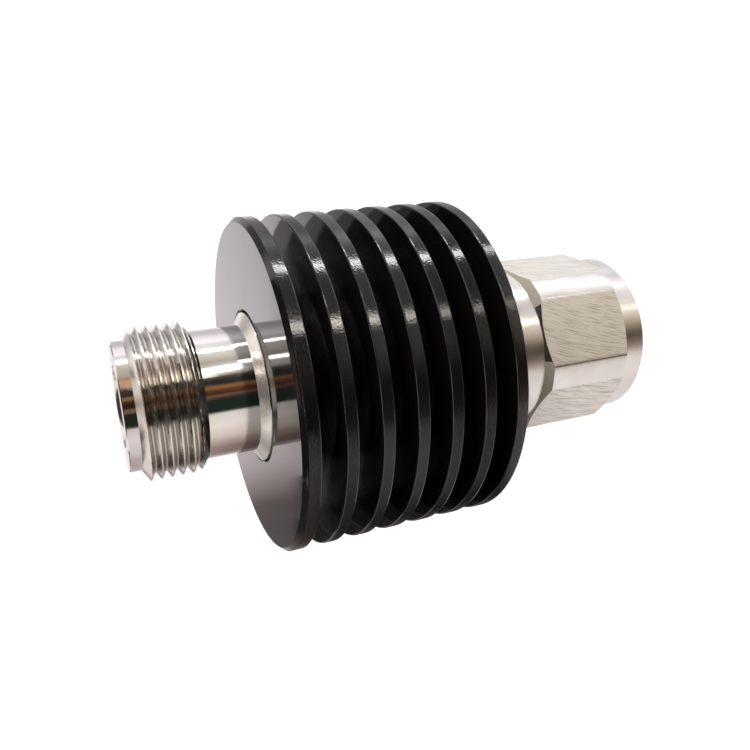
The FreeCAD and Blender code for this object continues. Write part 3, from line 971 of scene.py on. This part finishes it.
# %% Rule of the heat sink
CORNERS_PER_FIN = 4

sink_tree, sink, sink_sockets = rule_tree("finned_heat_sink", SINK)
fins = sink["Fins"]
index = fins.node("GeometryNodeInputIndex")
fin = (index / CORNERS_PER_FIN).math("FLOOR")
corner = index - fin * CORNERS_PER_FIN
middle = corner.near(1.5, 0.6)  # the corners 1 and 2 of 0 to 3
upper = corner.math("GREATER_THAN", 1.5)
is_end = fin.near(fins - 1, 0.4)
in_bore = fin.math("GREATER_THAN", fins - 0.5)
at_mouth = index.math("LESS_THAN", 0.5).highest(index.near(fins * CORNERS_PER_FIN - 1, 0.4))

thickness = sink["Thickness"] + is_end * (sink["End Thickness"] - sink["Thickness"])
top = (fins - 1) * sink["Pitch"] + sink["End Thickness"]
fin_radius = sink["Core Radius"] + middle * (sink["Fin Radius"] - sink["Core Radius"])
fin_radius = fin_radius + at_mouth * (sink["Recess Radius"] - sink["Core Radius"])
fin_height = fin * sink["Pitch"] + upper * thickness
bore_radius = sink["Recess Radius"] - middle * (sink["Recess Radius"] - sink["Bore Radius"])
bore_height = upper * sink["Recess Depth"] + (1 - upper) * (top - sink["Recess Depth"])
radius = fin_radius + in_bore * (bore_radius - fin_radius)
height = sink["Bottom"] + fin_height + in_bore * (bore_height - fin_height)

chamfered = is_end * upper * middle
edge = sink["Edge Rounding"] + chamfered * (sink["End Chamfer"] - sink["Edge Rounding"])
fin_rounding = sink["Root Rounding"] + middle * (edge - sink["Root Rounding"])
rounding = (1 - in_bore) * (fin_rounding + at_mouth * (sink["Recess Chamfer"] - sink["Root Rounding"]))
steps = ROUND_STEPS - chamfered.highest(at_mouth) * (ROUND_STEPS - 1)

spot = fins.node("ShaderNodeCombineXYZ", sockets={"X": radius - sink["Fin Radius"], "Y": height * -1.0})
line = fins.node("GeometryNodeMeshLine", sockets={"Count": fins * CORNERS_PER_FIN + CORNERS_PER_FIN})
line = fins.node("GeometryNodeSetPosition", sockets={"Geometry": line, "Position": spot})
outline = fins.node("GeometryNodeMeshToCurve", sockets={"Mesh": line})
outline = fins.node("GeometryNodeSetSplineCyclic", sockets={"Geometry": outline, "Cyclic": True})
outline = fins.node("GeometryNodeFilletCurve", {"mode": "POLY"}, {
    "Curve": outline, "Count": steps, "Radius": rounding, "Limit Radius": True})
circle = fins.node("GeometryNodeCurvePrimitiveCircle", sockets={
    "Resolution": sink["Sides"], "Radius": sink["Fin Radius"]})
shell = fins.node("GeometryNodeCurveToMesh", sockets={"Curve": circle, "Profile Curve": outline})
close_rule(shell, sink["Material"])
print("rule of the heat sink:", len(sink_tree.nodes), "nodes")

# %% Heat sink
sink_mesh = grow("finned_heat_sink", sink_tree, sink_sockets, SINK)
sink_piece = solid("finned_heat_sink", [sink_mesh], [gloss_anodise], LATHE_CREASE)
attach(sink_piece, "attenuator")
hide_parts("heat_sink")

# %% [markdown]
# A thread that runs out into its blank
#
# A screw thread is a turned blank with a helical groove cut into it. Wherever the groove hasn't reached, the
# blank shows. So the surface's radius is the smaller of two: the blank's, with its lead-in cones, and the
# thread's, which depends on the height and on the angle. The tree bends a flat grid round the axis. Its rows
# climb with the helix, so that every row keeps its place on the ridge and the crests stay crisp. An inside
# thread is the same rule with its sense turned round.

# %% Sizes of the jack's thread
THREAD_PITCH = 25.4 / 24
THREAD_DEPTH = 0.65 * THREAD_PITCH
JACK_SIDES = 192
NECK_RADIUS = 6.8
BARREL_RADIUS = 6.7
THREAD_LOW = SINK_HIGH + 6.0
THREAD_FULL_LOW = SINK_HIGH + 6.85
THREAD_FULL_HIGH = SINK_HIGH + 11.9
THREAD_HIGH = SINK_HIGH + 12.6

JACK_THREAD = {
    "Sense": 1.0,
    "Crest Radius": THREAD_RADIUS * MM,
    "Root Radius": (THREAD_RADIUS - THREAD_DEPTH) * MM,
    "Crest Flat": THREAD_PITCH / 8 * MM,
    "Pitch": THREAD_PITCH * MM,
    "Low": THREAD_LOW * MM,
    "High": THREAD_HIGH * MM,
    "Low Radius": NECK_RADIUS * MM,
    "Low Slope": (THREAD_RADIUS - NECK_RADIUS) / (THREAD_FULL_LOW - THREAD_LOW),
    "High Radius": BARREL_RADIUS * MM,
    "High Slope": (THREAD_RADIUS - BARREL_RADIUS) / (THREAD_HIGH - THREAD_FULL_HIGH),
    "Start Angle": 0.0,
    "Rows per Turn": 32,
    "Sides": JACK_SIDES,
    "Material": threaded_nickel,
}
print("thread of", round(THREAD_PITCH, 3), "mm pitch")

# %% Rule of a thread
thread_tree, thread, thread_sockets = rule_tree("thread", JACK_THREAD)
FLANK_SLOPE = 1 / tan(radians(30))  # half the angle between two flanks is 30 degrees

sense = thread["Sense"]
pitch = thread["Pitch"]
low = thread["Low"]
high = thread["High"]
rows = (((high - low) / pitch + 1) * thread["Rows per Turn"]).math("CEIL")
grid = sense.node("GeometryNodeMeshGrid", sockets={
    "Size X": 1.0, "Size Y": 1.0, "Vertices X": thread["Sides"] + 1, "Vertices Y": rows + 1})
place = sense.node("GeometryNodeInputPosition")
parts = sense.node("ShaderNodeSeparateXYZ", sockets={0: place})
round_share = parts + 0.5
climb = (parts.sibling("Y") + 0.5) * rows / thread["Rows per Turn"]
height = (low + pitch * (climb - 1 + round_share)).highest(low).lowest(high)
from_crest = (0.5 - (climb.math("FRACT") - 0.5).math("ABSOLUTE")) * pitch
cut = (from_crest - thread["Crest Flat"] / 2).highest(0.0) * FLANK_SLOPE
ridge = (sense * thread["Crest Radius"] - cut).highest(sense * thread["Root Radius"])
low_cone = sense * thread["Low Radius"] + thread["Low Slope"] * (height - low)
high_cone = sense * thread["High Radius"] + thread["High Slope"] * (high - height)
radius = sense * ridge.lowest(low_cone).lowest(high_cone)
angle = thread["Start Angle"] + round_share * (2 * pi)
spot = sense.node("ShaderNodeCombineXYZ", sockets={
    0: radius * angle.math("COSINE"), 1: radius * angle.math("SINE"), 2: height})
shell = sense.node("GeometryNodeSetPosition", sockets={"Geometry": grid, "Position": spot})
close_rule(shell, thread["Material"])
print("rule of a thread:", len(thread_tree.nodes), "nodes")

# %% [markdown]
# The jack
#
# The jack's body is one turned piece: a barrel that guides the plug, the coupling thread, a plain neck and a
# coned flange against the heat sink. The lathe outline leaves a gap where the thread is, and the threaded
# band closes it, column for column. The thread is duller than the barrel, with painted shade that darkens it
# towards its roots, and the two cones are matt.

# %% Jack
FLANGE_RADIUS = 8.05
FLANGE_BOTTOM = SINK_HIGH - 0.8
FLANGE_EDGE = SINK_HIGH + 0.12
FLANGE_TOP = SINK_HIGH + 0.85
FLANGE_ROUNDING = 0.08
MOUTH_RADIUS = 4.4
SOCKET_RADIUS = 4.05
SOCKET_BOTTOM = JACK_FRONT - 9.1
STOP_RADIUS = 3.5
STOP_BOTTOM = SINK_HIGH - 0.5
TAIL_RADIUS = 4.6
SHANK_RADIUS = 6.98
SHANK_BOTTOM = SINK_HIGH - 6.0
GROOVE_RADIUS = SHANK_RADIUS - 0.7
GROOVE_LOW = SINK_HIGH - 2.2
GROOVE_HIGH = SINK_HIGH - 1.3
INNER_CORNER = 0.02

jack_outline = rounded([
    (BARREL_RADIUS, THREAD_HIGH),
    (BARREL_RADIUS, JACK_FRONT - 0.1),
    (BARREL_RADIUS - 0.1, JACK_FRONT),
    (MOUTH_RADIUS, JACK_FRONT, 0.05),
    (SOCKET_RADIUS, JACK_FRONT - 0.35, 0.1),
    (SOCKET_RADIUS, SOCKET_BOTTOM, INNER_CORNER),
    (STOP_RADIUS, SOCKET_BOTTOM, INNER_CORNER),
    (STOP_RADIUS, STOP_BOTTOM),
    (TAIL_RADIUS, STOP_BOTTOM),
    (TAIL_RADIUS, SHANK_BOTTOM),
    (SHANK_RADIUS - 0.3, SHANK_BOTTOM),
    (SHANK_RADIUS, SHANK_BOTTOM + 0.3),
    (SHANK_RADIUS, GROOVE_LOW),
    (GROOVE_RADIUS, GROOVE_LOW),
    (GROOVE_RADIUS, GROOVE_HIGH),
    (SHANK_RADIUS, GROOVE_HIGH),
    (SHANK_RADIUS, FLANGE_BOTTOM),
    (FLANGE_RADIUS, FLANGE_BOTTOM),
    (FLANGE_RADIUS, FLANGE_EDGE, FLANGE_ROUNDING),
    (NECK_RADIUS, FLANGE_TOP, FLANGE_ROUNDING),
    (NECK_RADIUS, THREAD_LOW),
])
jack_thread = grow("jack_thread", thread_tree, thread_sockets, JACK_THREAD)
jack_shells = [turned(jack_outline, JACK_SIDES), jack_thread]
jack_piece = solid("jack_body_turned", jack_shells, [polished_nickel], LATHE_CREASE)
dress(jack_piece, threaded_nickel, NECK_RADIUS, THREAD_RADIUS, THREAD_LOW, THREAD_FULL_HIGH)
dress(jack_piece, matt_nickel, BARREL_RADIUS, THREAD_RADIUS, THREAD_FULL_HIGH, THREAD_HIGH)
dress(jack_piece, matt_nickel, NECK_RADIUS, FLANGE_RADIUS, FLANGE_EDGE - 0.02, FLANGE_TOP + 0.02)
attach(jack_piece, "attenuator")
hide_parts("jack_body")

# %% [markdown]
# The coupling nut
#
# The nut starts as hexagon bar whose corners are turned off, so six flats and six narrow round lands take
# turns round it, and both ends are turned down to a collar. Where a cone meets a flat, the edge curves. Each
# column of the mesh knows its angle, so its corner lies exactly where the flat and the turned blank meet, and
# every edge is then broken by a fine bevel. The inside carries the thread, its relief and the seat.
#
# The faces of a column are numbered from the mouth up, and their number gives the finish: milled flats, a
# matt front shoulder, and a back shoulder that is satin but for one crescent behind the first flat, on the
# camera's side, whose turned finish is painted light and shade.

# %% Nut
NUT_SIDES = 264
COLUMNS_PER_FLAT = NUT_SIDES // 6
FLAT_HALF_COLUMNS = 16
# The crescent behind the flat on the camera's side, where the back shoulder's finish is painted light and
# shade.
PAINTED_CRESCENT_HALF_COLUMNS = 14
NUT_TURN = radians(3.4 - 90)  # the first flat faces the camera's side, 3.4 degrees off as in the photo
HALF_FLATS = 19.3 / 2
LAND_RADIUS = 10.4
COLLAR_RADIUS = 9.43
COLLAR_HEIGHT = 2.8
BOSS_HEIGHT = NUT_LENGTH - 3.45
SHOULDER = 0.65
NUT_CHAMFER = 0.35
RIM_RADIUS = COLLAR_RADIUS - NUT_CHAMFER
NUT_BEVEL = 0.05
BEVEL_FROM = radians(12)

nut_finishes = [turned_nickel, milled_nickel, matt_nickel, shoulder_nickel]
TURNED, MILLED, MATT, SATIN = range(len(nut_finishes))
FRONT_SHOULDER_ROW, FLAT_ROW, BACK_SHOULDER_ROW = 2, 3, 4


def face_finish(row, flat_number, steps, next_steps):
    """Which of the nut's finishes a face takes, by its row, its flat and its steps from the flat's middle."""
    if row == FLAT_ROW and -FLAT_HALF_COLUMNS <= steps < next_steps <= FLAT_HALF_COLUMNS:
        return MILLED
    if row == FRONT_SHOULDER_ROW:
        return MATT
    # Painted light and shade: on the camera's side alone, the back shoulder behind the flat takes the turned
    # finish.
    bright = flat_number % 6 == 0 and max(abs(steps), abs(next_steps)) <= PAINTED_CRESCENT_HALF_COLUMNS
    return SATIN if row == BACK_SHOULDER_ROW and not bright else TURNED


def nut_profile(steps, lean):
    """Radii and heights of one column of the outside, from the mouth's rim to the back's."""
    on_land = abs(steps) > FLAT_HALF_COLUMNS
    crown = LAND_RADIUS if on_land else min(LAND_RADIUS, HALF_FLATS / cos(lean))
    climb = SHOULDER * (crown - COLLAR_RADIUS) / (LAND_RADIUS - COLLAR_RADIUS)
    return [
        (RIM_RADIUS, 0),
        (COLLAR_RADIUS, NUT_CHAMFER),
        (COLLAR_RADIUS, COLLAR_HEIGHT),
        (crown, COLLAR_HEIGHT + climb),
        (crown, BOSS_HEIGHT - climb),
        (COLLAR_RADIUS, BOSS_HEIGHT),
        (COLLAR_RADIUS, NUT_LENGTH - NUT_CHAMFER),
        (RIM_RADIUS, NUT_LENGTH),
    ]


def nut_outside():
    """Outer shell of the nut, with the flats' map."""
    mesh = bpy.data.meshes.new("nut_outside")
    shell = bmesh.new()
    uv = shell.loops.layers.uv.new(FLAT_MAP)
    half = COLUMNS_PER_FLAT // 2
    columns = []
    for column in range(NUT_SIDES):
        steps = (column + half) % COLUMNS_PER_FLAT - half
        lean = 2 * pi * steps / NUT_SIDES
        angle = NUT_TURN + 2 * pi * column / NUT_SIDES
        profile = nut_profile(steps, lean)
        verts = [shell.verts.new((r * cos(angle) * MM, r * sin(angle) * MM, z * MM)) for r, z in profile]
        columns.append((steps, tan(lean) * HALF_FLATS, verts, profile))
    for index, (steps, across, verts, profile) in enumerate(columns):
        next_steps, next_across, next_verts, next_profile = columns[(index + 1) % NUT_SIDES]
        flat_number = (index + half) // COLUMNS_PER_FLAT
        for row in range(len(profile) - 1):
            face = shell.faces.new((verts[row], next_verts[row], next_verts[row + 1], verts[row + 1]))
            face.material_index = face_finish(row, flat_number, steps, next_steps)
            spots = ((across, profile[row]), (next_across, next_profile[row]),
                     (next_across, next_profile[row + 1]), (across, profile[row + 1]))
            for loop, (u, (_, z)) in zip(face.loops, spots):
                loop[uv].uv = (u, z + flat_number * FLAT_MAP_SHIFT)
    creases = [e for e in shell.edges if len(e.link_faces) == 2 and e.calc_face_angle() > BEVEL_FROM]
    bmesh.ops.bevel(shell, geom=creases, offset=NUT_BEVEL * MM, segments=2, profile=0.5, affect="EDGES")
    shell.to_mesh(mesh)
    shell.free()
    return mesh


print("nut:", FLAT_HALF_COLUMNS * 2, "of", COLUMNS_PER_FLAT, "columns on each flat")

# %% Nut's inside, and the whole nut
NUT_THROAT_RADIUS = 6.7
RING_GROOVE_RADIUS = 7.5
RING_GROOVE_LOW = 14.15
RING_GROOVE_HIGH = 15.75
SEAT_RADIUS = 7.2
SEAT_HIGH = 12.6
RELIEF_RADIUS = 8.1
RELIEF_HIGH = 10.4
NUT_THREAD_END = 9.0
NUT_CREASE = 40

nut_inside = rounded([
    (RIM_RADIUS, NUT_LENGTH),
    (NUT_THROAT_RADIUS + NUT_CHAMFER, NUT_LENGTH),
    (NUT_THROAT_RADIUS, NUT_LENGTH - NUT_CHAMFER),
    (NUT_THROAT_RADIUS, RING_GROOVE_HIGH),
    (RING_GROOVE_RADIUS, RING_GROOVE_HIGH),
    (RING_GROOVE_RADIUS, RING_GROOVE_LOW),
    (NUT_THROAT_RADIUS, RING_GROOVE_LOW),
    (NUT_THROAT_RADIUS, SEAT_HIGH + 0.5),
    (SEAT_RADIUS, SEAT_HIGH),
    (SEAT_RADIUS, RELIEF_HIGH, 0.1),
    (RELIEF_RADIUS, RELIEF_HIGH, 0.2),
    (RELIEF_RADIUS, NUT_THREAD_END),
])
nut_mouth = [(RELIEF_RADIUS, 0), (RIM_RADIUS, 0)]
nut_thread = grow("nut_thread", thread_tree, thread_sockets, {
    "Sense": -1.0,
    "Crest Radius": 7.35 * MM,
    "Root Radius": 8.0 * MM,
    "Crest Flat": THREAD_PITCH / 4 * MM,
    "Pitch": THREAD_PITCH * MM,
    "Low": 0.0,
    "High": NUT_THREAD_END * MM,
    "Low Radius": RELIEF_RADIUS * MM,
    "Low Slope": 1.0,
    "High Radius": RELIEF_RADIUS * MM,
    "High Slope": 1.7,
    "Start Angle": NUT_TURN,
    "Rows per Turn": 16,
    "Sides": NUT_SIDES,
    "Material": turned_nickel,
})
nut_rings = [turned(outline, NUT_SIDES, NUT_TURN) for outline in (nut_inside, nut_mouth)]
nut_shells = [nut_outside(), *nut_rings, nut_thread]
nut_piece = solid("hexagon_coupling_nut", nut_shells, nut_finishes, NUT_CREASE)
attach(nut_piece, "nut")
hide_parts("coupling_nut")

# %% [markdown]
# The pieces that stay as the frame has them
#
# The contacts, beads, rings and the chip inside are right as solids. They keep their meshes and only take a
# finish, so that the mouths of the jack and of the nut show gold, white and black rubber where the real
# ones do.

# %% Finishes of the frame's own nodes
NODE_FINISHES = {
    "jack_center_contact": plated_gold,
    "jack_insulator": white_ptfe,
    "jack_insulator_ring": polished_nickel,
    "jack_seal_ring": matt_rubber,
    "carrier_half_front": plain_aluminium,
    "carrier_half_rear": plain_aluminium,
    "attenuator_chip": fired_ceramic,
    "jack_chip_clip": drawn_steel,
    "plug_chip_clip": drawn_steel,
    "plug_body": polished_nickel,
    "plug_outer_contact": polished_nickel,
    "plug_center_contact": plated_gold,
    "plug_insulator": white_ptfe,
    "plug_insulator_ring": polished_nickel,
    "plug_seal_ring": matt_rubber,
    "plug_gasket": matt_rubber,
    "nut_snap_ring": drawn_steel,
}
for node, material in NODE_FINISHES.items():
    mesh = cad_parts[node].data
    if not mesh.materials:
        mesh.materials.append(material)
    for place in range(len(mesh.materials)):
        mesh.materials[place] = material
print("dressed", len(NODE_FINISHES), "nodes of the frame")
